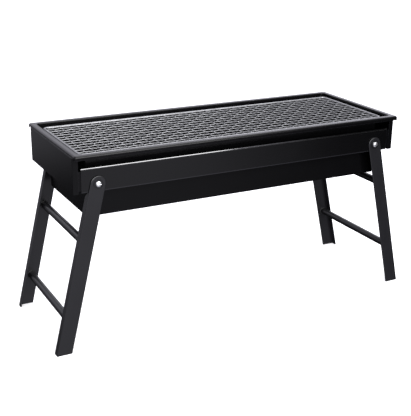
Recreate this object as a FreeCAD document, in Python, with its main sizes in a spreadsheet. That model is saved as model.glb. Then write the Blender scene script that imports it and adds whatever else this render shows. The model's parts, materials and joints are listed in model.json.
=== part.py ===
import FreeCAD, Part
import math
import os
import Sketcher

# Folding hibachi grill: a steel charcoal trough in a sheet-metal frame on two folding leg frames.
# Millimetres, +Z up.  X runs along the grill, Y across it, and the origin is on the ground
# under the middle of the grill.  The legs are modelled opened out.

# ---------------------------------------------------------------- driving dimensions

DIMENSIONS = {
    # rim and trough
    "rim_length": 600,
    "rim_width": 226,
    "rim_height": 325,
    "side_lip": 7,
    "end_lip": 3.9,
    "rim_bend": 1.6,
    "lip_bend": 3.4,
    "step_length": 579,
    "step_width": 204,
    "step_depth": 8.3,
    "rim_corner": 4,
    "step_corner": 6,
    "trough_length": 549,
    "trough_width": 172,
    "trough_floor": 218,
    "trough_bend": 3,
    "trough_sheet": 1,
    # outer frame
    "frame_width": 204,
    "frame_bottom": 263,
    "frame_sheet": 1.2,
    "end_plate_top": 320.8,
    "end_wrap": 9,
    "frame_bend": 1.5,
    "rail_length": 573,
    "rail_return": 8,
    "bead_diameter": 4.6,
    "bead_height": 300.2,
    "bracket_foot": 26,
    "bracket_bottom": 267,
    "bracket_top": 297,
    # leg frames
    "pivot_reach": 260,
    "pivot_height": 276,
    "leg_width": 25,
    "leg_sheet": 1.5,
    "leg_gap": 1,
    "leg_splay": 13.25,
    "leg_flange": 12,
    "flange_start": 17,
    "flange_shoulder": 4,
    "leg_bend": 1.2,
    "left_upper_tube_drop": 98,
    "left_lower_tube_drop": 227.5,
    "right_upper_tube_drop": 74,
    "right_lower_tube_drop": 204.5,
    "tube_diameter": 12.7,
    "tube_wall": 1,
    # pivot fasteners
    "screw_diameter": 5,
    "screw_fit": 0.05,
    "screw_tail": 96,
    "head_diameter": 9.6,
    "head_rise": 2.8,
    "head_rim": 0.7,
    "head_middle_reach": 0.88,
    "head_middle_rise": 0.65,
    "head_crown_reach": 0.55,
    "head_crown_rise": 0.93,
    "driver_slot_width": 1.1,
    "driver_slot_depth": 1,
    "head_washer_diameter": 16,
    "head_washer_sheet": 0.8,
    "head_washer_gap": 0.2,
    "spacer_diameter": 13,
    "spacer_sheet": 0.8,
    "nut_flats": 8,
    "nut_thickness": 4,
    # cooking grate
    "grate_length": 564,
    "grate_width": 175,
    "grate_height": 319,
    "grate_bar": 4,
    "grate_corner": 7,
    "grate_wire": 1.6,
    "grate_cells_along": 41,
    "grate_cells_across": 13,
    "wire_layer": 0.85,
    "wire_end_gap": 0.1,
    # charcoal rack
    "rack_length": 520,
    "rack_width": 150,
    "rack_lift": 18,
    "rack_bar": 5,
    "rack_corner": 12,
    "rack_rod": 3,
    "rack_rod_count": 26,
    "rack_foot_reach": 200,
    "rack_foot_diameter": 4.5,
    "rest_gap": 0.3,
    "layer_gap": 0.1,
    # how far a cutting shape runs past the face it cuts through
    "cut_past": 1,
}

document = FreeCAD.newDocument("HibachiGrill")
sheet = document.addObject("Spreadsheet::Sheet", "Sizes")
for row, (alias, number) in enumerate(DIMENSIONS.items(), start=1):
    sheet.set(f"A{row}", alias)
    sheet.set(f"B{row}", str(number))
    sheet.setAlias(f"B{row}", alias)
document.recompute()


class Size:
    """A length that carries its number and the expression that gives it from the sheet."""

    def __init__(self, number, text):
        self.number = float(number)
        self.text = text

    def __add__(self, other):
        other = as_size(other)
        return Size(self.number + other.number, f"({self.text} + {other.text})")

    def __sub__(self, other):
        other = as_size(other)
        return Size(self.number - other.number, f"({self.text} - {other.text})")

    def __mul__(self, other):
        other = as_size(other)
        return Size(self.number * other.number, f"({self.text} * {other.text})")

    def __truediv__(self, other):
        other = as_size(other)
        return Size(self.number / other.number, f"({self.text} / {other.text})")

    def __neg__(self):
        return Size(-self.number, f"(0 - {self.text})")


def as_size(item):
    return item if isinstance(item, Size) else Size(item, repr(float(item)))


def dim(alias):
    return Size(sheet.get(alias), f"Sizes.{alias}")


def sine(angle):
    return Size(math.sin(math.radians(angle.number)), f"sin({angle.text} * 1 deg)")


def cosine(angle):
    return Size(math.cos(math.radians(angle.number)), f"cos({angle.text} * 1 deg)")


# ---------------------------------------------------------------- sketch and feature helpers

ORIGIN = -1
X_AXIS = -1
Y_AXIS = -2
SAME_PLACE = 0.01
nodes = []


def node(feature, label):
    """Names the object that stands for one sub-part and lists it for writing out."""
    feature.Label = label
    nodes.append(feature)
    return feature


def new_body(label):
    return node(document.addObject("PartDesign::Body", label), label)


def origin_plane(body, role):
    return next(item for item in body.Origin.OriginFeatures if item.Role == role)


def new_sketch(body, role, offset=0):
    """An empty sketch on one of the body's own origin planes, moved along its normal."""
    sketch = body.newObject("Sketcher::SketchObject", f"{body.Name}_outline")
    sketch.AttachmentSupport = [(origin_plane(body, role), "")]
    sketch.MapMode = "FlatFace"
    sketch.setExpression("AttachmentOffset.Base.z", as_size(offset).text)
    return sketch


def fix_point(sketch, geometry, end, x, y):
    """Holds one point of the sketch at sizes from the sheet."""
    for kind, axis, size in (("DistanceX", Y_AXIS, as_size(x)), ("DistanceY", X_AXIS, as_size(y))):
        if size.number == 0:
            sketch.addConstraint(Sketcher.Constraint("PointOnObject", geometry, end, axis))
            continue
        rule = Sketcher.Constraint(kind, ORIGIN, 1, geometry, end, size.number)
        index = sketch.addConstraint(rule)
        sketch.setExpression(f"Constraints[{index}]", size.text)


def add_polygon(sketch, points):
    corners = [FreeCAD.Vector(as_size(x).number, as_size(y).number, 0) for x, y in points]
    first = sketch.GeometryCount
    count = len(corners)
    for index in range(count):
        sketch.addGeometry(Part.LineSegment(corners[index], corners[(index + 1) % count]), False)
    for index in range(count):
        following = first + (index + 1) % count
        sketch.addConstraint(Sketcher.Constraint("Coincident", first + index, 2, following, 1))
    for index, (x, y) in enumerate(points):
        fix_point(sketch, first + index, 1, x, y)


def add_rectangle(sketch, left, right, low, high):
    add_polygon(sketch, [(left, low), (right, low), (right, high), (left, high)])


def add_centred_rectangle(sketch, length, width):
    add_rectangle(sketch, -length / 2, length / 2, -width / 2, width / 2)


def add_circle(sketch, x, y, diameter):
    diameter = as_size(diameter)
    centre = FreeCAD.Vector(as_size(x).number, as_size(y).number, 0)
    circle = Part.Circle(centre, FreeCAD.Vector(0, 0, 1), diameter.number / 2)
    index = sketch.addGeometry(circle, False)
    rule = sketch.addConstraint(Sketcher.Constraint("Diameter", index, diameter.number))
    sketch.setExpression(f"Constraints[{rule}]", diameter.text)
    fix_point(sketch, index, 3, x, y)


def extrude(kind, body, sketch, length, symmetric=False, backwards=False):
    """A Pad or Pocket of the sketch.  Its tip is checked by volume, so it can't miss."""
    document.recompute()
    before = body.Shape.Volume if body.Tip else 0
    feature = body.newObject(f"PartDesign::{kind}", f"{body.Name}_{kind}")
    feature.Profile = sketch
    feature.setExpression("Length", as_size(length).text)
    if symmetric:
        feature.SideType = "Symmetric"
    feature.Reversed = backwards
    document.recompute()
    change = body.Shape.Volume - before
    if (change <= 0) == (kind == "Pad"):
        raise RuntimeError(f"{feature.Name} changed the volume by {change}")
    return feature


def pad(body, sketch, length, **options):
    return extrude("Pad", body, sketch, length, **options)


def pocket(body, sketch, length, **options):
    return extrude("Pocket", body, sketch, length, **options)


def round_edges(body, radius, wanted):
    """Fillets the edges of the body that the test picks by their two end points."""
    tip = body.Tip
    names = [f"Edge{index}" for index, edge in enumerate(tip.Shape.Edges, start=1)
             if len(edge.Vertexes) == 2 and wanted(*[vertex.Point for vertex in edge.Vertexes])]
    if not names:
        raise RuntimeError(f"{body.Label} has no edge to round")
    fillet = body.newObject("PartDesign::Fillet", f"{body.Name}_bend")
    fillet.Base = (tip, names)
    fillet.setExpression("Radius", radius.text)
    document.recompute()


def mirror_within(body, role):
    """Adds the mirror image of everything in the body, as further solids of the same sub-part."""
    mirrored = body.newObject("PartDesign::Mirrored", f"{body.Name}_mirrored")
    mirrored.TransformMode = "Whole shape"
    mirrored.MirrorPlane = (origin_plane(body, role), [""])
    body.Tip = mirrored
    document.recompute()


def mirror_copy(source, label, normal):
    """A separate sub-part that is the mirror image of another one."""
    copy = document.addObject("Part::Mirroring", label)
    copy.Source = source
    copy.Normal = normal
    return node(copy, label)


def close_to(first, second):
    return abs(first - second) < SAME_PLACE


ACROSS = FreeCAD.Vector(0, 1, 0)
ALONG = FreeCAD.Vector(1, 0, 0)

# ---------------------------------------------------------------- sizes worked out from the sheet

rim_top = dim("rim_height")
sheet_metal = dim("trough_sheet")
half_rim_length = dim("rim_length") / 2
half_rim_width = dim("rim_width") / 2
step_floor = rim_top - dim("step_depth")
frame_face = dim("frame_width") / 2
frame_back = frame_face - dim("frame_sheet")
leg_back = frame_face + dim("leg_gap")
leg_face = leg_back + dim("leg_sheet")
washer_face = leg_face + dim("head_washer_gap") + dim("head_washer_sheet")
hole_diameter = dim("screw_diameter") + dim("screw_fit") * 2
past = dim("cut_past")


# ---------------------------------------------------------------- charcoal trough

def upright_at(x, y):
    """A test for upright edges at one distance from the middle each way."""
    def wanted(a, b):
        at_corner = close_to(abs(a.x), x.number) and close_to(abs(a.y), y.number)
        return at_corner and close_to(a.x, b.x) and close_to(a.y, b.y)
    return wanted


def level_loop(height, x, y):
    """A test for the edges of a level rectangle, with its round corners, at one height."""
    def on_loop(point):
        return close_to(point.z, height.number) and (
            close_to(abs(point.x), x.number) or close_to(abs(point.y), y.number))
    return lambda a, b: on_loop(a) and on_loop(b)


def edges_of_box(low, high):
    """A test for a box's bottom edges and its upright edges, by their end heights."""
    return lambda a, b: close_to(min(a.z, b.z), low) and (
        close_to(max(a.z, b.z), low) or close_to(max(a.z, b.z), high))


def make_trough():
    """The pressed fire box: deep trough, step for the grate, flat rim and turned-down lips."""
    body = new_body("charcoal_trough")
    lip_bottom = rim_top - dim("side_lip")
    rim_block = new_sketch(body, "XY_Plane", lip_bottom)
    add_centred_rectangle(rim_block, dim("rim_length"), dim("rim_width"))
    pad(body, rim_block, dim("side_lip"))

    # Leave only the lips and the flat rim of that block: cut it from below.
    under_rim = new_sketch(body, "XY_Plane", lip_bottom)
    add_centred_rectangle(
        under_rim, dim("rim_length") - sheet_metal * 2, dim("rim_width") - sheet_metal * 2)
    pocket(body, under_rim, dim("side_lip") - sheet_metal, backwards=True)
    round_edges(body, dim("rim_corner") - sheet_metal,
                upright_at(half_rim_length - sheet_metal, half_rim_width - sheet_metal))
    round_edges(body, dim("rim_corner"), upright_at(half_rim_length, half_rim_width))
    round_edges(body, dim("lip_bend") - sheet_metal,
                level_loop(rim_top - sheet_metal, half_rim_length - sheet_metal,
                           half_rim_width - sheet_metal))
    round_edges(body, dim("lip_bend"), level_loop(rim_top, half_rim_length, half_rim_width))
    for side in (-1, 1):
        end_trim = new_sketch(body, "XY_Plane", lip_bottom)
        inner = (half_rim_length - sheet_metal - past) * side
        outer = (half_rim_length + past) * side
        half_end = half_rim_width - dim("rim_corner")
        add_rectangle(end_trim, inner, outer, -half_end, half_end)
        pocket(body, end_trim, dim("side_lip") - dim("end_lip"), backwards=True)

    step_outer_x = dim("step_length") / 2 + sheet_metal
    step_outer_y = dim("step_width") / 2 + sheet_metal
    step = new_sketch(body, "XY_Plane", step_floor - sheet_metal)
    add_rectangle(step, -step_outer_x, step_outer_x, -step_outer_y, step_outer_y)
    pad(body, step, dim("step_depth"))
    trough = new_sketch(body, "XY_Plane", dim("trough_floor"))
    add_centred_rectangle(trough, dim("trough_length"), dim("trough_width"))
    pad(body, trough, step_floor - dim("trough_floor"))
    step_inside = new_sketch(body, "XY_Plane", step_floor)
    add_centred_rectangle(step_inside, dim("step_length"), dim("step_width"))
    pocket(body, step_inside, dim("step_depth") + past, backwards=True)
    inner_floor = dim("trough_floor") + sheet_metal
    inside = new_sketch(body, "XY_Plane", inner_floor)
    inside_length = dim("trough_length") - sheet_metal * 2
    inside_width = dim("trough_width") - sheet_metal * 2
    add_centred_rectangle(inside, inside_length, inside_width)
    pocket(body, inside, rim_top - dim("trough_floor"), backwards=True)

    round_edges(body, dim("trough_bend") - sheet_metal,
                edges_of_box(inner_floor.number, step_floor.number))
    round_edges(body, dim("trough_bend"),
                edges_of_box(dim("trough_floor").number, (step_floor - sheet_metal).number))
    round_edges(body, dim("step_corner"), upright_at(dim("step_length") / 2, dim("step_width") / 2))
    round_edges(body, dim("step_corner") + sheet_metal, upright_at(step_outer_x, step_outer_y))
    round_edges(body, dim("rim_bend"),
                level_loop(rim_top, dim("step_length") / 2, dim("step_width") / 2))
    round_edges(body, dim("rim_bend"), level_loop(step_floor, inside_length / 2, inside_width / 2))
    round_edges(body, dim("rim_bend"),
                level_loop(step_floor - sheet_metal, step_outer_x, step_outer_y))


# ---------------------------------------------------------------- outer frame

def make_end_plate():
    """A shallow tray stood on edge: plate, turned-in top and bottom, and corner wraps."""
    body = new_body("right_end_plate")
    plate = new_sketch(body, "YZ_Plane", half_rim_length - dim("end_wrap"))
    add_rectangle(plate, -frame_face, frame_face, dim("frame_bottom"), dim("end_plate_top"))
    pad(body, plate, dim("end_wrap"))
    hollow = new_sketch(body, "YZ_Plane", half_rim_length - dim("end_wrap"))
    wall = dim("frame_sheet")
    add_rectangle(hollow, -frame_back, frame_back,
                  dim("frame_bottom") + wall, dim("end_plate_top") - wall)
    pocket(body, hollow, dim("end_wrap") - wall, backwards=True)
    outer = half_rim_length.number
    face = frame_face.number
    round_edges(body, dim("frame_bend"), lambda a, b: (
        close_to(a.x, outer) and close_to(b.x, outer)
        and (close_to(a.z, b.z) or close_to(abs(a.y), face))))
    mirror_copy(body, "left_end_plate", ALONG)


def make_leg_rail():
    """The long side plate that carries the legs, with a rolled bead on top and a turned-in foot."""
    body = new_body("front_leg_rail")
    bead_radius = dim("bead_diameter") / 2
    profile = new_sketch(body, "YZ_Plane")
    low = dim("frame_bottom")
    add_polygon(profile, [
        (-frame_face, low),
        (dim("rail_return") - frame_face, low),
        (dim("rail_return") - frame_face, low + dim("frame_sheet")),
        (-frame_back, low + dim("frame_sheet")),
        (-frame_back, dim("bead_height")),
        (-frame_face, dim("bead_height")),
    ])
    pad(body, profile, dim("rail_length"), symmetric=True)
    bead = new_sketch(body, "YZ_Plane")
    add_circle(bead, bead_radius - frame_face, dim("bead_height"), dim("bead_diameter"))
    pad(body, bead, dim("rail_length"), symmetric=True)
    holes = new_sketch(body, "XZ_Plane", frame_back - past)
    for side in (-1, 1):
        add_circle(holes, dim("pivot_reach") * side, dim("pivot_height"), hole_diameter)
    pocket(body, holes, dim("frame_sheet") + past * 2, backwards=True)
    bottom = low.number
    face = -frame_face.number
    round_edges(body, dim("frame_bend"), lambda a, b: (
        close_to(a.y, face) and close_to(b.y, face)
        and close_to(a.z, bottom) and close_to(b.z, bottom)))
    mirror_copy(body, "rear_leg_rail", ACROSS)


def make_corner_brackets():
    """Four bent brackets that join the leg rails to the end plates, inside the corners."""
    body = new_body("corner_brackets")
    outline = new_sketch(body, "XY_Plane", dim("bracket_bottom"))
    wall = dim("frame_sheet")
    plate_inside = half_rim_length - wall
    corner_back = frame_back - wall
    add_polygon(outline, [
        (plate_inside, -frame_back),
        (plate_inside, dim("bracket_foot") - frame_back),
        (plate_inside - wall, dim("bracket_foot") - frame_back),
        (plate_inside - wall, -corner_back),
        (plate_inside - dim("bracket_foot"), -corner_back),
        (plate_inside - dim("bracket_foot"), -frame_back),
    ])
    pad(body, outline, dim("bracket_top") - dim("bracket_bottom"))
    mirror_within(body, "YZ_Plane")
    mirror_within(body, "XZ_Plane")


# ---------------------------------------------------------------- leg frames

def down_leg(across, drop):
    """A point on the right-hand leg: across it (outwards positive) and down from its pivot."""
    splay = dim("leg_splay")
    across = as_size(across)
    drop = as_size(drop)
    x = dim("pivot_reach") + across * cosine(splay) + drop * sine(splay)
    z = dim("pivot_height") + across * sine(splay) - drop * cosine(splay)
    return x, z


def drop_to_height(across, height):
    """How far down the leg from its pivot a line at this distance across it meets a height."""
    splay = dim("leg_splay")
    rise = dim("pivot_height") + as_size(across) * sine(splay) - as_size(height)
    return rise / cosine(splay)


def make_front_right_leg():
    """A pressed angle-section leg: round top and a stiffening flange along its outer edge."""
    body = new_body("right_front_leg")
    half = dim("leg_width") / 2
    thin = dim("leg_sheet")
    web = new_sketch(body, "XZ_Plane", leg_back)
    ground = 0
    add_polygon(web, [
        down_leg(-half, 0),
        down_leg(-half, drop_to_height(-half, ground)),
        down_leg(half, drop_to_height(half, ground)),
        down_leg(half, 0),
    ])
    pad(body, web, thin)
    top = new_sketch(body, "XZ_Plane", leg_back)
    add_circle(top, dim("pivot_reach"), dim("pivot_height"), dim("leg_width"))
    pad(body, top, thin)

    flange = new_sketch(body, "XZ_Plane", leg_face - dim("leg_flange"))
    inner = half - thin
    add_polygon(flange, [
        down_leg(inner, dim("flange_start")),
        down_leg(inner, drop_to_height(inner, ground)),
        down_leg(half, drop_to_height(half, ground)),
        down_leg(half, dim("flange_start")),
    ])
    pad(body, flange, dim("leg_flange"))

    shoulder = new_sketch(body, "YZ_Plane", dim("pivot_reach"))
    high = down_leg(half, dim("flange_start"))[1] + past
    depth = dim("leg_flange") - dim("flange_shoulder")
    back = dim("leg_flange") - leg_face
    add_polygon(shoulder, [
        (back + past, high),
        (back - depth, high),
        (back + past, high - depth - past),
    ])
    pocket(body, shoulder, dim("leg_width") * 2, backwards=True)

    hole = new_sketch(body, "XZ_Plane", leg_back - past)
    add_circle(hole, dim("pivot_reach"), dim("pivot_height"), hole_diameter)
    pocket(body, hole, thin + past * 2, backwards=True)

    # The long outer edge of the front face is the bend between web and flange.
    outer_x = down_leg(half, drop_to_height(half, ground))[0].number
    long_edge = dim("pivot_height").number / 2
    face = -leg_face.number
    round_edges(body, dim("leg_bend"), lambda a, b: (
        close_to(a.y, face) and close_to(b.y, face)
        and abs(a.z - b.z) > long_edge
        and max(a.x, b.x) > outer_x - past.number))
    return body


def make_tube(side, toward, place):
    """A cross tube between the webs of a front and a rear leg."""
    body = new_body(f"{side}_{place}_tube")
    section = new_sketch(body, "XZ_Plane")
    x, z = down_leg(0, dim(f"{side}_{place}_tube_drop"))
    add_circle(section, x * toward, z, dim("tube_diameter"))
    add_circle(section, x * toward, z, dim("tube_diameter") - dim("tube_wall") * 2)
    pad(body, section, leg_back * 2, symmetric=True)


def make_leg_frames():
    right_front = make_front_right_leg()
    right_rear = mirror_copy(right_front, "right_rear_leg", ACROSS)
    mirror_copy(right_front, "left_front_leg", ALONG)
    mirror_copy(right_rear, "left_rear_leg", ALONG)
    # The two frames carry their tubes at different heights.
    for side, toward in (("right", 1), ("left", -1)):
        for place in ("upper", "lower"):
            make_tube(side, toward, place)


# ---------------------------------------------------------------- pivot fasteners

def make_pivot_screws():
    """Four slotted domed machine screws, the pins that the legs turn on."""
    body = new_body("pivot_screws")
    profile = new_sketch(body, "XY_Plane", dim("pivot_height"))
    centre = dim("pivot_reach")
    shank = dim("screw_diameter") / 2
    rim = dim("head_diameter") / 2
    rise = dim("head_rise")
    middle = rim * dim("head_middle_reach")
    crown = rim * dim("head_crown_reach")
    add_polygon(profile, [
        (centre, -dim("screw_tail")),
        (centre + shank, -dim("screw_tail")),
        (centre + shank, -washer_face),
        (centre + rim, -washer_face),
        (centre + rim, -washer_face - dim("head_rim")),
        (centre + middle, -washer_face - rise * dim("head_middle_rise")),
        (centre + crown, -washer_face - rise * dim("head_crown_rise")),
        (centre, -washer_face - rise),
    ])
    document.recompute()
    turned = body.newObject("PartDesign::Revolution", "pivot_screw_turned")
    turned.Profile = profile
    turned.ReferenceAxis = (profile, ["Edge8"])
    turned.Angle = 360
    document.recompute()
    slot = new_sketch(body, "XZ_Plane", washer_face + rise - dim("driver_slot_depth"))
    half_slot = dim("driver_slot_width") / 2
    add_rectangle(slot, centre - rim, centre + rim,
                  dim("pivot_height") - half_slot, dim("pivot_height") + half_slot)
    pocket(body, slot, dim("driver_slot_depth") + past, backwards=True)
    mirror_within(body, "YZ_Plane")
    mirror_within(body, "XZ_Plane")


def make_ring_group(label, inner_face, thickness, outer, inner):
    """Four flat washers round the pivot screws, from one face outwards."""
    body = new_body(label)
    section = new_sketch(body, "XZ_Plane", inner_face)
    add_circle(section, dim("pivot_reach"), dim("pivot_height"), outer)
    add_circle(section, dim("pivot_reach"), dim("pivot_height"), inner)
    pad(body, section, thickness)
    mirror_within(body, "YZ_Plane")
    mirror_within(body, "XZ_Plane")


def make_pivot_nuts():
    """Four hexagon nuts that clamp the screws behind the leg rails."""
    body = new_body("pivot_nuts")
    section = new_sketch(body, "XZ_Plane", frame_back - dim("nut_thickness"))
    corner_radius = dim("nut_flats") / math.sqrt(3)
    corners = []
    for turn in range(6):
        angle = math.radians(60 * turn)
        corners.append((dim("pivot_reach") + corner_radius * math.cos(angle),
                        dim("pivot_height") + corner_radius * math.sin(angle)))
    add_polygon(section, corners)
    add_circle(section, dim("pivot_reach"), dim("pivot_height"), dim("screw_diameter"))
    pad(body, section, dim("nut_thickness"))
    mirror_within(body, "YZ_Plane")
    mirror_within(body, "XZ_Plane")


# ---------------------------------------------------------------- grates

def make_rod_loop(label, length, width, height, bar, corner):
    """A round bar bent into a closed rectangle with round corners, its middle at a height."""
    body = new_body(label)
    path = new_sketch(body, "XY_Plane", height)
    x = length / 2
    y = width / 2
    runs = [
        ((as_size(0), -y), (x - corner, -y)),
        ((x, corner - y), (x, y - corner)),
        ((x - corner, y), (corner - x, y)),
        ((-x, y - corner), (-x, corner - y)),
        ((corner - x, -y), (as_size(0), -y)),
    ]
    turns = [(x - corner, corner - y), (x - corner, y - corner),
             (corner - x, y - corner), (corner - x, corner - y)]
    radius = corner.number
    for (start_x, start_y), (end_x, end_y) in runs:
        path.addGeometry(Part.LineSegment(
            FreeCAD.Vector(start_x.number, start_y.number, 0),
            FreeCAD.Vector(end_x.number, end_y.number, 0)), False)
    for quarter, (centre_x, centre_y) in enumerate(turns):
        centre = FreeCAD.Vector(centre_x.number, centre_y.number, 0)
        circle = Part.Circle(centre, FreeCAD.Vector(0, 0, 1), radius)
        start = math.radians(90 * (quarter - 1))
        path.addGeometry(Part.ArcOfCircle(circle, start, start + math.pi / 2), False)
    for index, (start, end) in enumerate(runs):
        fix_point(path, index, 1, *start)
        if index < len(runs) - 1:
            fix_point(path, index, 2, *end)
    path.addConstraint(Sketcher.Constraint("Coincident", 4, 2, 0, 1))
    for quarter in range(4):
        arc = len(runs) + quarter
        path.addConstraint(Sketcher.Constraint("Tangent", quarter, 2, arc, 1))
        path.addConstraint(Sketcher.Constraint("Coincident", arc, 2, quarter + 1, 1))
    profile = new_sketch(body, "YZ_Plane")
    add_circle(profile, -y, height, bar)
    document.recompute()
    pipe = body.newObject("PartDesign::AdditivePipe", f"{label}_bar")
    pipe.Profile = profile
    pipe.Spine = path
    document.recompute()
    return body


def make_row(label, role, first_x, height, diameter, length, axis, span, count):
    """Parallel straight rods: one padded both ways from its plane, then a linear pattern."""
    body = new_body(label)
    section = new_sketch(body, role)
    add_circle(section, first_x, height, diameter)
    rod = pad(body, section, length, symmetric=True)
    row = body.newObject("PartDesign::LinearPattern", f"{label}_row")
    row.Originals = [rod]
    row.Direction = (origin_plane(body, axis), [""])
    row.setExpression("Length", as_size(span).text)
    row.setExpression("Occurrences", as_size(count).text)
    body.Tip = row
    document.recompute()
    return body


def make_cooking_grate():
    """Frame bar with two layers of straight wires, one along the grill and one across it."""
    length = dim("grate_length")
    width = dim("grate_width")
    bar = dim("grate_bar")
    make_rod_loop("grate_frame", length, width, dim("grate_height"), bar, dim("grate_corner"))
    gap = bar + dim("wire_end_gap") * 2
    pitch_along = length / dim("grate_cells_along")
    pitch_across = width / dim("grate_cells_across")
    make_row("grate_long_wires", "YZ_Plane", pitch_across - width / 2,
             dim("grate_height") - dim("wire_layer"), dim("grate_wire"), length - gap,
             "Y_Axis", width - pitch_across * 2, dim("grate_cells_across") - 1)
    make_row("grate_cross_wires", "XZ_Plane", pitch_along - length / 2,
             dim("grate_height") + dim("wire_layer"), dim("grate_wire"), width - gap,
             "X_Axis", length - pitch_along * 2, dim("grate_cells_along") - 1)


def make_charcoal_rack():
    """The fire rack inside the trough: bent bar on four stub feet, with rods laid across it."""
    bar = dim("rack_bar")
    rack_height = dim("trough_floor") + sheet_metal + dim("rack_lift")
    body = make_rod_loop("charcoal_rack_frame", dim("rack_length"), dim("rack_width"),
                         rack_height, bar, dim("rack_corner"))
    feet = new_sketch(body, "XY_Plane", dim("trough_floor") + sheet_metal + dim("rest_gap"))
    for side_x in (-1, 1):
        for side_y in (-1, 1):
            add_circle(feet, dim("rack_foot_reach") * side_x,
                       dim("rack_width") / 2 * side_y, dim("rack_foot_diameter"))
    pad(body, feet, dim("rack_lift") - dim("rest_gap"))
    span = dim("rack_length") - dim("rack_corner") * 2
    rod_height = rack_height + bar / 2 + dim("rack_rod") / 2 + dim("layer_gap")
    make_row("charcoal_rack_rods", "XZ_Plane", -span / 2, rod_height, dim("rack_rod"),
             dim("rack_width") + bar, "X_Axis", span, dim("rack_rod_count"))


# ---------------------------------------------------------------- build, check and write

make_trough()
make_end_plate()
make_leg_rail()
make_corner_brackets()
make_leg_frames()
make_pivot_screws()
make_ring_group("head_washers", leg_face + dim("head_washer_gap"), dim("head_washer_sheet"),
                dim("head_washer_diameter"), dim("screw_diameter"))
make_ring_group("spacer_washers", frame_face, dim("spacer_sheet"),
                dim("spacer_diameter"), dim("screw_diameter"))
make_pivot_nuts()
make_cooking_grate()
make_charcoal_rack()
document.recompute()

for item in document.Objects:
    if "Invalid" in item.State or "Error" in item.State:
        raise RuntimeError(f"{item.Label} failed: {item.State}")
for item in nodes:
    if item.Shape.isNull() or not item.Shape.isValid() or item.Shape.Volume <= 0:
        raise RuntimeError(f"{item.Label} has no valid shape")

os.makedirs("parts", exist_ok=True)
for item in nodes:
    item.Shape.exportStep(f"parts/{item.Label}.step")
    box = item.Shape.BoundBox
    print(f"{item.Label:22s} solids {len(item.Shape.Solids):3d} volume {item.Shape.Volume:9.0f}"
          f"  x {box.XMin:7.1f} {box.XMax:7.1f}  y {box.YMin:7.1f} {box.YMax:7.1f}"
          f"  z {box.ZMin:6.1f} {box.ZMax:6.1f}")
print(len(nodes), "nodes")
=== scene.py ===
import json
import math

import bmesh
import bpy
from mathutils import Matrix, Vector


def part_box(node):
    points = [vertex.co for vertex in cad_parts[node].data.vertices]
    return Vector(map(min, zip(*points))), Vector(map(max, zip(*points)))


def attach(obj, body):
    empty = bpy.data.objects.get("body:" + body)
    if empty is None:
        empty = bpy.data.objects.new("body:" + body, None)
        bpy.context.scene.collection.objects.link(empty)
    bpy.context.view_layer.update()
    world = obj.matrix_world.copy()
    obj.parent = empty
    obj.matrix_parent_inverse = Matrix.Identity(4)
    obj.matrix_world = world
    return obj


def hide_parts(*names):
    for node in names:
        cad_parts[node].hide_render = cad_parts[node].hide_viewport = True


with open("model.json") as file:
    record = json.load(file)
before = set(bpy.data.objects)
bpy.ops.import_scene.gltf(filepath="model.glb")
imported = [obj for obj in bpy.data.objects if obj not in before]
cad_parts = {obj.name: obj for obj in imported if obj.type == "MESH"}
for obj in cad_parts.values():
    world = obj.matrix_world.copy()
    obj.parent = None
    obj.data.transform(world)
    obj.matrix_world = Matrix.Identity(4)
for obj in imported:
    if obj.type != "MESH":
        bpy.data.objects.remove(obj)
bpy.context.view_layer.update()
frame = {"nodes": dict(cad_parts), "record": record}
nodes = frame["nodes"]
record = frame["record"]
MM = 0.001


# ---------------------------------------------------------------- materials

class Shader:
    """A short way to write one material's node tree, in metres in the object's own space."""

    def __init__(self, name):
        self.material = bpy.data.materials.new(name)
        self.material.use_nodes = True
        self.tree = self.material.node_tree
        self.surface = self.tree.nodes["Principled BSDF"]
        coordinates = self.tree.nodes.new("ShaderNodeTexCoord")
        self.place = coordinates.outputs["Object"]

    def node(self, kind, inputs=(), **settings):
        made = self.tree.nodes.new(kind)
        for key, value in settings.items():
            setattr(made, key, value)
        for key, value in dict(inputs).items():
            self.feed(made.inputs[key], value)
        return made

    def feed(self, socket, value):
        """Sets a socket to a plain value, or links another node's output to it."""
        if isinstance(value, bpy.types.NodeSocket):
            self.tree.links.new(value, socket)
        else:
            socket.default_value = value

    def link(self, socket, value):
        self.feed(self.surface.inputs[socket], value)

    def noise(self, scale, detail=2.0):
        """Soft noise; scale is the number of blotches in a metre."""
        made = self.node("ShaderNodeTexNoise", {
            "Vector": self.place, "Scale": scale, "Detail": detail, "Roughness": 0.5})
        return made.outputs["Fac"]

    def ranged(self, value, low, high, start=0.3, end=0.7):
        """Carries start to end over to low to high.  Most noise lies between 0.3 and 0.7."""
        made = self.node("ShaderNodeMapRange", {
            "Value": value, "From Min": start, "From Max": end, "To Min": low, "To Max": high})
        return made.outputs["Result"]

    def math(self, operation, first, second=0.0):
        return self.node("ShaderNodeMath", {0: first, 1: second}, operation=operation).outputs[0]

    def blend(self, factor, first, second):
        return self.node("ShaderNodeMix", {0: factor, 6: first, 7: second}, data_type="RGBA").outputs[2]

    def bump(self, height, depth, normal=None):
        inputs = {"Height": height, "Strength": 1.0, "Distance": depth}
        if normal is not None:
            inputs["Normal"] = normal
        return self.node("ShaderNodeBump", inputs).outputs["Normal"]

    def axes(self):
        """The place's X, Y and Z, each as an output of its own."""
        return self.node("ShaderNodeSeparateXYZ", {0: self.place}).outputs

    def edge_wear(self, reach):
        """1 along edges where the coat is rubbed thinner, in broken patches, and 0 elsewhere."""
        rounded = self.node("ShaderNodeBevel", {"Radius": reach}, samples=6).outputs["Normal"]
        plain = self.node("ShaderNodeNewGeometry").outputs["Normal"]
        same = self.node("ShaderNodeVectorMath", {0: rounded, 1: plain}, operation="DOT_PRODUCT")
        edge = self.ranged(same.outputs["Value"], 1.0, 0.0, 0.80, 0.985)
        patches = self.ranged(self.noise(140.0, 3.0), 0.15, 0.9)
        return self.math("MULTIPLY", edge, patches)


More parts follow.
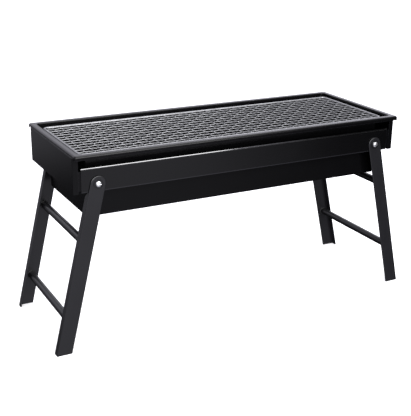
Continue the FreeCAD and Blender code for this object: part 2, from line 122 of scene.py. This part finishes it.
def grey(value, tint=(1.0, 1.0, 1.0)):
    return (value * tint[0], value * tint[1], value * tint[2], 1.0)


COAT_TINT = (0.96, 0.95, 1.12)      # the black of the coat is slightly blue
WIRE_TINT = (0.99, 1.0, 1.02)
WEAR_REACH = 0.7 * MM               # how far from an edge the coat is rubbed
WORN_GREY = 0.030                   # coat rubbed thinner along an edge
PAINTED_GLINT_GREY = 0.014                   # painted highlight: the white floor's reflection in a rail's bottom bend
PAINTED_GLINT_FADE = 0.6 * MM
BURNISHED_GREYS = (0.16, 0.20)      # bare metal along the rolled bead
BEAD_FADE = 0.3 * MM
BEAD_ROUGHNESS_SHARE = 0.4          # of the coat's roughness
SOOT_ROUGHNESS = (0.20, 0.34)       # added by the fire
WAVE_DEPTH = 0.20 * MM              # how far the sheet is from flat
PEEL_DEPTH = 0.010 * MM             # orange peel in the coat


def powder_coat(name, shade, roughness, specular, bead=None, glint_below=None, inside=None):
    """Baked black powder coat: orange peel, a little cloudiness, coat rubbed thinner along the edges, and a
    painted highlight along a rail's bottom bend where asked.

    bead is the height above which a rolled bead's coat is burnished by handling.
    The argument between bead and inside is the height below which a rail's bottom bend is lightened: a painted
    highlight standing in for the floor's reflection.
    inside is the half length and half width of a fire box, which heat has dulled within them.
    """
    shader = Shader(name)
    cloud = shader.noise(9.0)
    speck = shader.noise(1900.0, 1.0)
    mottle = shader.math("ADD", cloud, shader.math("MULTIPLY", speck, 0.35))
    tone = shader.ranged(mottle, 0.0, 1.0, 0.45, 0.85)
    body = shader.blend(tone, grey(shade * 0.85, COAT_TINT), grey(shade * 1.15, COAT_TINT))
    colour = shader.blend(shader.edge_wear(WEAR_REACH), body, grey(WORN_GREY, COAT_TINT))
    finger_marks = shader.noise(24.0, 3.0)
    gloss = shader.ranged(finger_marks, roughness * 0.94, roughness * 1.08)
    axes = shader.axes()
    # Painted highlight: the bottom bend of a rail is lightened, standing in for the white floor's reflection
    # in it.
    if glint_below is not None:
        painted_glint = shader.ranged(axes["Z"], 1.0, 0.0, glint_below - PAINTED_GLINT_FADE, glint_below)
        colour = shader.blend(painted_glint, colour, grey(PAINTED_GLINT_GREY, COAT_TINT))
    if bead is not None:
        rubbed = shader.ranged(axes["Z"], 0.0, 1.0, bead, bead + BEAD_FADE)
        scuff = shader.ranged(shader.noise(60.0, 4.0), 0.0, 1.0)
        metal = shader.blend(scuff, grey(BURNISHED_GREYS[0]), grey(BURNISHED_GREYS[1]))
        colour = shader.blend(rubbed, colour, metal)
        smoother = shader.ranged(rubbed, 1.0, BEAD_ROUGHNESS_SHARE, 0.0, 1.0)
        gloss = shader.math("MULTIPLY", gloss, smoother)
        shader.link("Metallic", rubbed)
    if inside is not None:
        along = shader.math("LESS_THAN", shader.math("ABSOLUTE", axes["X"]), inside[0])
        across = shader.math("LESS_THAN", shader.math("ABSOLUTE", axes["Y"]), inside[1])
        dulled = shader.math("MULTIPLY", along, across)
        soot = shader.ranged(shader.noise(26.0, 4.0), *SOOT_ROUGHNESS)
        gloss = shader.math("ADD", gloss, shader.math("MULTIPLY", dulled, soot))
    shader.link("Base Color", colour)
    shader.link("Roughness", gloss)
    shader.link("Specular IOR Level", specular)
    wavy = shader.bump(shader.noise(6.0, 0.0), WAVE_DEPTH)
    shader.link("Normal", shader.bump(shader.noise(700.0, 1.5), PEEL_DEPTH, wavy))
    return shader.material


def plated_wire(name, shade, roughness, stain=0.25):
    """Drawn steel wire with dull plating: fine lengthwise drawing marks and cloudy patches."""
    shader = Shader(name)
    patch = shader.noise(60.0, 4.0)
    pit = shader.noise(2600.0, 1.0)
    mottle = shader.math("ADD", patch, shader.math("MULTIPLY", pit, 0.3))
    tone = shader.ranged(mottle, 0.0, 1.0, 0.40, 0.90)
    stained = grey(shade * (1.0 - stain), WIRE_TINT)
    clean = grey(min(shade * 1.12, 0.95), WIRE_TINT)
    drawing_marks = shader.noise(420.0)
    shader.link("Base Color", shader.blend(tone, stained, clean))
    shader.link("Metallic", 1.0)
    shader.link("Roughness", shader.ranged(drawing_marks, roughness * 0.8, roughness * 1.25))
    shader.link("Normal", shader.bump(shader.noise(1500.0), 0.012 * MM))
    return shader.material


def zinc_plate(name, shade, roughness):
    """Bright plated screw steel, brushed a little by the driver and the tumbling."""
    shader = Shader(name)
    tone = shader.ranged(shader.noise(900.0, 3.0), 0.0, 1.0)
    tumbling = shader.noise(1400.0)
    shader.link("Base Color", shader.blend(tone, grey(shade * 0.86, (0.98, 1.0, 1.03)), grey(shade)))
    shader.link("Metallic", 1.0)
    shader.link("Roughness", shader.ranged(tumbling, roughness * 0.8, roughness * 1.3))
    shader.link("Normal", shader.bump(shader.noise(2200.0), 0.006 * MM))
    return shader.material


def nylon(name, shade):
    """Moulded black nylon: matt, with a fine sparkle of mould texture."""
    shader = Shader(name)
    tone = shader.ranged(shader.noise(800.0), 0.0, 1.0)
    shader.link("Base Color", shader.blend(tone, grey(shade * 0.8), grey(shade * 1.2)))
    shader.link("Roughness", shader.ranged(shader.noise(1600.0), 0.5, 0.7))
    shader.link("Normal", shader.bump(shader.noise(2400.0), 0.015 * MM))
    return shader.material


def weld_metal(name, shade):
    """Painted-over weld bead: the tubes' coat made lighter, painted light over the shade where a tube's end
    meets the leg's web, and a little glossier on its ripples.
    """
    shader = Shader(name)
    tone = shader.ranged(shader.noise(500.0, 3.0), 0.0, 1.0)
    shader.link("Base Color", shader.blend(tone, grey(shade * 0.8), grey(shade * 1.5)))
    shader.link("Roughness", shader.ranged(shader.noise(300.0), 0.30, 0.46))
    shader.link("Normal", shader.bump(shader.noise(900.0, 3.0), 0.05 * MM))
    return shader.material


WALL_INSIDE = (0.2738, 0.0853)      # half the length and half the width inside the trough's walls
BEAD_HEIGHT = 3.0 * MM              # of the burnished bead along a rail's top
PAINTED_GLINT_HEIGHT = 2.2 * MM              # of the painted highlight along a rail's bottom bend

materials = {
    # frame_paint and trough_paint take a specular level under half of rail_paint's: painted shade that darkens
    # the end plates' wraps and the trough walls below the rails as shade would.
    "frame_paint": powder_coat("frame_paint", 0.0020, 0.20, 0.22),
    "trough_paint": powder_coat("trough_paint", 0.0014, 0.22, 0.21, inside=WALL_INSIDE),
    "leg_paint": powder_coat("leg_paint", 0.0088, 0.30, 0.50),
    "tube_paint": powder_coat("tube_paint", 0.0048, 0.32, 0.30),
    "washer_black": powder_coat("washer_black", 0.0060, 0.24, 0.50),
    "zinc": zinc_plate("zinc", 0.86, 0.30),
    "nylon": nylon("nylon", 0.030),
    "grate_steel": plated_wire("grate_steel", 0.255, 0.40),
    "rack_steel": plated_wire("rack_steel", 0.028, 0.46, stain=0.45),
}
rail_low, rail_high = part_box("front_leg_rail")
rail_paint = powder_coat(
    "rail_paint", 0.0014, 0.18, 0.50, bead=rail_high.z - BEAD_HEIGHT, glint_below=rail_low.z + PAINTED_GLINT_HEIGHT)
# The weld coat is lighter than the tubes' coat: painted light over the shade where each tube meets a leg's
# web.
lightened_weld_paint = weld_metal("lightened_weld_paint", 0.016)


def set_material(piece, material):
    piece.data.materials.clear()
    piece.data.materials.append(material)


slot_of = {entry["node"]: entry["material_slot"] for entry in record["subparts"]}
for name, piece in nodes.items():
    set_material(piece, materials[slot_of[name]])
for name in ("front_leg_rail", "rear_leg_rail"):
    set_material(nodes[name], rail_paint)


# ---------------------------------------------------------------- mesh helpers

def add_piece(name, vertices, faces, body, material):
    """A smooth-shaded mesh that rides on a body, with its faces turned outward."""
    mesh = bpy.data.meshes.new(name)
    mesh.from_pydata(vertices, [], faces)
    mesh.validate()
    closed = bmesh.new()
    closed.from_mesh(mesh)
    bmesh.ops.recalc_face_normals(closed, faces=closed.faces)
    closed.to_mesh(mesh)
    closed.free()
    mesh.update()
    piece = bpy.data.objects.new(name, mesh)
    bpy.context.scene.collection.objects.link(piece)
    mesh.polygons.foreach_set("use_smooth", [True] * len(mesh.polygons))
    set_material(piece, material)
    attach(piece, body)
    return piece


class Tubes:
    """Collects round wires, each a chain of points, into one mesh."""

    def __init__(self, sides):
        self.sides = sides
        self.vertices = []
        self.faces = []

    def add(self, points, radius, side_way):
        """One wire through the points.  side_way is a direction that no part of the wire follows."""
        sides = self.sides
        first = len(self.vertices)
        count = len(points)
        for index, point in enumerate(points):
            before = points[max(index - 1, 0)]
            after = points[min(index + 1, count - 1)]
            run = (after - before).normalized()
            across = side_way.cross(run).normalized()
            lift = run.cross(across)
            for step in range(sides):
                angle = 2 * math.pi * step / sides
                self.vertices.append(point + (across * math.cos(angle) + lift * math.sin(angle)) * radius)
        for index in range(count - 1):
            for step in range(sides):
                following = (step + 1) % sides
                low = first + index * sides
                high = low + sides
                self.faces.append((low + step, low + following, high + following, high + step))
        self.faces.append(tuple(first + step for step in reversed(range(sides))))
        self.faces.append(tuple(first + (count - 1) * sides + step for step in range(sides)))


# ---------------------------------------------------------------- woven cooking grate

CELLS_ALONG = 41
CELLS_ACROSS = 13
STEPS_PER_CELL = 8
WIRE_SIDES = 8
WIRE_SHARE = 0.95       # of the straight wires' radius
CRIMP_SHARE = 0.48      # how far the crimp swings from the middle, as a share of the wire's radius


def crimp_swing(along, cells, turn):
    """Which way a wire is bent at this many cells along it, from -1 to 1, and straight at its ends."""
    straighten = min(along, cells - along, 0.5) * 2
    return turn * math.cos(math.pi * along) * straighten


def make_woven_mesh():
    """The crimped wires of the grate, over and under each other, run into the frame bar."""
    bar_low, bar_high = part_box("grate_frame")
    wire_low, wire_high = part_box("grate_long_wires")
    bar = bar_high.z - bar_low.z
    middle = (bar_low.z + bar_high.z) / 2
    radius = (wire_high.z - wire_low.z) / 2 * WIRE_SHARE
    crimp = radius * CRIMP_SHARE
    length = bar_high.x - bar_low.x - bar
    width = bar_high.y - bar_low.y - bar
    pitch_x = length / CELLS_ALONG
    pitch_y = width / CELLS_ACROSS
    tubes = Tubes(WIRE_SIDES)
    for row in range(1, CELLS_ACROSS):
        y = -width / 2 + pitch_y * row
        points = []
        for step in range(CELLS_ALONG * STEPS_PER_CELL + 1):
            along = step / STEPS_PER_CELL
            z = middle + crimp * crimp_swing(along, CELLS_ALONG, (-1) ** row)
            points.append(Vector((-length / 2 + pitch_x * along, y, z)))
        tubes.add(points, radius, Vector((0, 1, 0)))
    for column in range(1, CELLS_ALONG):
        x = -length / 2 + pitch_x * column
        points = []
        for step in range(CELLS_ACROSS * STEPS_PER_CELL + 1):
            along = step / STEPS_PER_CELL
            z = middle + crimp * crimp_swing(along, CELLS_ACROSS, -(-1) ** column)
            points.append(Vector((x, -width / 2 + pitch_y * along, z)))
        tubes.add(points, radius, Vector((1, 0, 0)))
    mesh = add_piece("grate_woven_mesh", tubes.vertices, tubes.faces, "grate", materials["grate_steel"])
    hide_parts("grate_long_wires", "grate_cross_wires")


make_woven_mesh()


# ---------------------------------------------------------------- weld beads

WELD_STEPS = 72
WELD_PROFILE = (        # mm out from the tube's surface, and mm along the tube from the leg's web
    (1.0, 0.0), (0.8, 0.35), (0.5, 0.7), (0.2, 1.1), (-0.3, 1.3), (-0.5, 0.0))


def weld_ripple(angle):
    """How much fuller or leaner the weld is here than its profile."""
    return 1.0 + 0.10 * math.sin(angle * 11) + 0.05 * math.sin(angle * 5 + 1.0)


def make_weld_collar(side, place, end, outward):
    """A rippled fillet of weld round one end of a cross tube, against the leg's web."""
    low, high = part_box(f"{side}_{place}_tube")
    centre = (low + high) / 2
    radius = (high.x - low.x) / 2
    web = high.y * outward
    vertices = []
    faces = []
    for step in range(WELD_STEPS):
        angle = 2 * math.pi * step / WELD_STEPS
        ripple = weld_ripple(angle)
        for rise, inward in WELD_PROFILE:
            reach = radius + rise * MM * (ripple if rise > 0 else 1.0)
            depth = inward * MM * (ripple if inward > 0 else 1.0)
            vertices.append((
                centre.x + reach * math.cos(angle), web - depth * outward,
                centre.z + reach * math.sin(angle)))
    count = len(WELD_PROFILE)
    for step in range(WELD_STEPS):
        here = step * count
        there = ((step + 1) % WELD_STEPS) * count
        for index in range(count):
            following = (index + 1) % count
            quad = (here + index, here + following, there + following, there + index)
            faces.append(quad if outward < 0 else quad[::-1])
    collar = add_piece(f"{side}_{place}_{end}_weld", vertices, faces, f"{side}_legs", lightened_weld_paint)


for side in ("left", "right"):
    for place in ("upper", "lower"):
        for end, outward in (("front", -1), ("rear", 1)):
            make_weld_collar(side, place, end, outward)


# ---------------------------------------------------------------- floor, light and camera

FLOOR_REACH = 14.0
FLOOR_GREY = 0.84
FLOOR_GLOW = 0.35


def make_stage():
    """A plain pale floor, too wide for the camera to see the end of it from its own place."""
    mesh = bpy.data.meshes.new("floor")
    corners = [(x * FLOOR_REACH, y * FLOOR_REACH, 0) for x, y in ((-1, -1), (1, -1), (1, 1), (-1, 1))]
    mesh.from_pydata(corners, [], [(0, 1, 2, 3)])
    floor = bpy.data.objects.new("floor", mesh)
    bpy.context.scene.collection.objects.link(floor)
    shader = Shader("floor")
    shader.link("Base Color", grey(FLOOR_GREY))
    shader.link("Roughness", 0.9)
    shader.link("Specular IOR Level", 0.0)
    shader.link("Emission Color", grey(1.0))
    shader.link("Emission Strength", FLOOR_GLOW)
    set_material(floor, shader.material)
    floor.visible_glossy = False
    floor.visible_diffuse = False


SURROUNDINGS_COLOUR = (0.985, 0.975, 1.08, 1.0)
SURROUNDINGS = {
    # name: axis of the direction, where the change starts and ends on it, value before and after
    "rearward": ("Y", -0.3, 0.3, 0.0, 1.0),
    "front_low": ("X", 0.40, 0.60, 0.51, 0.0),
    "rear_low": ("Z", -0.31, -0.25, 0.02, 0.24),
    "front_high": ("X", 0.455, 0.575, 1.0, 0.05),
    "rear_high": ("X", 0.28, 0.60, 1.2, 1.8),
    "upward": ("Z", 0.10, 0.22, 0.0, 1.0),
}


def make_world():
    """Soft white surroundings, darker in front, below and to the right."""
    world = bpy.data.worlds.new("studio")
    world.use_nodes = True
    tree = world.node_tree
    background = tree.nodes["Background"]
    direction = tree.nodes.new("ShaderNodeTexCoord").outputs["Generated"]
    parts = tree.nodes.new("ShaderNodeSeparateXYZ")
    tree.links.new(direction, parts.inputs[0])

    def ramp(name):
        axis, start, end, before, after = SURROUNDINGS[name]
        made = tree.nodes.new("ShaderNodeMapRange")
        made.interpolation_type = "SMOOTHSTEP"
        tree.links.new(parts.outputs[axis], made.inputs["Value"])
        for key, value in (("From Min", start), ("From Max", end), ("To Min", before), ("To Max", after)):
            made.inputs[key].default_value = value
        return made.outputs["Result"]

    def between(share, first, second):
        made = tree.nodes.new("ShaderNodeMix")
        for index, socket in ((0, share), (2, first), (3, second)):
            tree.links.new(socket, made.inputs[index])
        return made.outputs[0]

    rearward = ramp("rearward")
    low = between(rearward, ramp("front_low"), ramp("rear_low"))
    high = between(rearward, ramp("front_high"), ramp("rear_high"))
    level = between(ramp("upward"), low, high)
    tree.links.new(level, background.inputs["Strength"])
    background.inputs["Color"].default_value = SURROUNDINGS_COLOUR
    bpy.context.scene.world = world


def add_softbox(name, place, aim, width, depth, radiance):
    """An area light; a softbox of this radiance gives the same brightness at any size."""
    data = bpy.data.lights.new(name, "AREA")
    data.shape = "RECTANGLE"
    data.size = width
    data.size_y = depth
    data.energy = radiance * math.pi * width * depth
    lamp = bpy.data.objects.new(name, data)
    lamp.location = place
    lamp.rotation_euler = (Vector(aim) - Vector(place)).to_track_quat("-Z", "Y").to_euler()
    lamp.visible_camera = False
    bpy.context.scene.collection.objects.link(lamp)


CAMERA_PLACE = (-0.712, -1.303, 0.694)
CAMERA_YAW = math.radians(27.92)        # turned to the right of straight ahead
CAMERA_PITCH = math.radians(19.68)      # looking down
CAMERA_ROLL = math.radians(0.74)
CAMERA_SENSOR = 36.0                    # mm
CAMERA_LENS = 76.7                      # mm


def make_camera():
    """The camera stands to the left of the grill and in front, looking down on it."""
    flat = math.cos(CAMERA_PITCH)
    forward = Vector((math.sin(CAMERA_YAW) * flat, math.cos(CAMERA_YAW) * flat, -math.sin(CAMERA_PITCH)))
    level = Vector((math.cos(CAMERA_YAW), -math.sin(CAMERA_YAW), 0.0))
    above = level.cross(forward)
    right = level * math.cos(CAMERA_ROLL) + above * math.sin(CAMERA_ROLL)
    up = above * math.cos(CAMERA_ROLL) - level * math.sin(CAMERA_ROLL)
    data = bpy.data.cameras.new("camera")
    data.sensor_width = CAMERA_SENSOR
    data.lens = CAMERA_LENS
    data.clip_end = 60.0
    camera = bpy.data.objects.new("camera", data)
    camera.matrix_world = Matrix((
        (right.x, up.x, -forward.x, CAMERA_PLACE[0]),
        (right.y, up.y, -forward.y, CAMERA_PLACE[1]),
        (right.z, up.z, -forward.z, CAMERA_PLACE[2]),
        (0, 0, 0, 1)))
    bpy.context.scene.collection.objects.link(camera)
    bpy.context.scene.camera = camera


make_stage()
make_world()
add_softbox("overhead", place=(0.35, 0.10, 2.10), aim=(0.0, 0.0, 0.0), width=1.60, depth=1.60, radiance=3.4)
add_softbox("front", place=(-0.10, -1.70, 1.10), aim=(-0.10, -0.1, 0.28), width=2.10, depth=1.50, radiance=6.0)
make_camera()
bpy.context.scene.view_settings.view_transform = "Standard"
